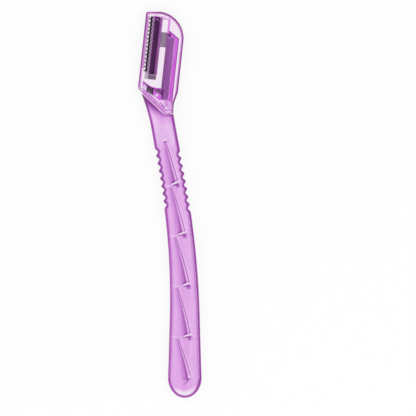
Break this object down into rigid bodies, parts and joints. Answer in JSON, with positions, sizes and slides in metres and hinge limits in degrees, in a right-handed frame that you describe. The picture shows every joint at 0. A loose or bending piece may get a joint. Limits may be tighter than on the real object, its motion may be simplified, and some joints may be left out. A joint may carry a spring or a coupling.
{
  "type": "eyebrow razor",
  "caption": "Slim bent eyebrow razor of tinted clear plastic, with a comb-guarded steel blade in a windowed head and a slide-off protective cap.",
  "frame": {"origin": "centre of the bounding box in plan, on the plane that the razor lies on", "axes": "+Y along the handle from the butt end to the head, +Z out of the front face, -X on the cutting side"},
  "size_m": [0.0248, 0.1498, 0.0046],
  "materials": {
    "tinted_plastic": "polished, transparent violet",
    "cap_plastic": "polished, transparent pale violet",
    "blade_steel": "satin, ground edge",
    "guard_steel": "satin, darkened"
  },
  "bodies": {
    "razor": {"handle": "tinted_plastic", "blade": "blade_steel", "guard_comb": "guard_steel", "blade_cover": "tinted_plastic"},
    "cap": {"cap": "cap_plastic"}
  },
  "joints": [
    {"name": "cap_slide", "type": "slide", "parent": "razor", "child": "cap", "axis": [0.108, 0.9942, 0], "range_m": [0, 0.042]}
  ]
}
